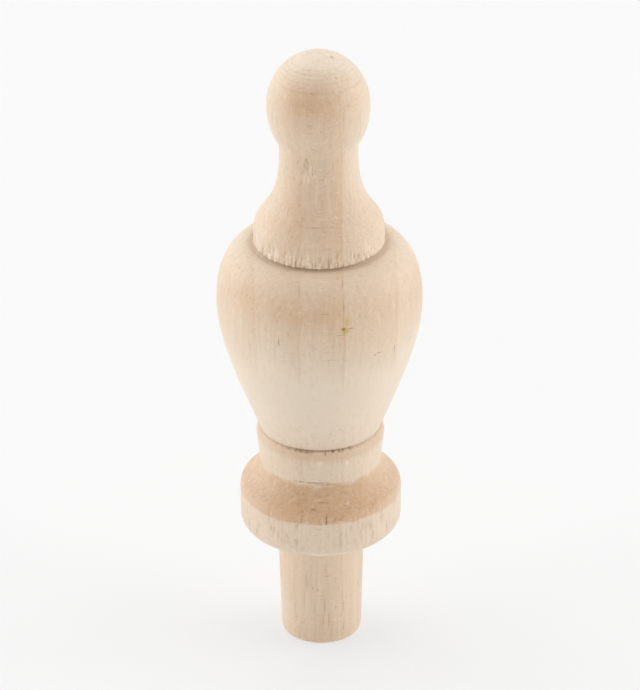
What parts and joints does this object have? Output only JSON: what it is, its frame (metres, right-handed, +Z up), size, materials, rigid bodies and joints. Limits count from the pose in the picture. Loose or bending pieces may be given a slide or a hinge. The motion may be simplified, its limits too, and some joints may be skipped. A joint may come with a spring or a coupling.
{
  "type": "turned wooden finial",
  "caption": "Small turned birch finial: ball on a slim neck, flared bell, full vase, collar and round flange over a plain round tenon that glues into a drilled hole.",
  "frame": {"origin": "centre of the tenon's flat lower end, on the turning axis", "axes": "+Z up the turning axis from the tenon to the ball; X and Y are free, because the turning is round"},
  "size_m": [0.016, 0.016, 0.0508],
  "materials": {
    "birch": "turned and sanded, unfinished"
  },
  "bodies": {
    "root": {"finial": "birch"}
  },
  "joints": []
}
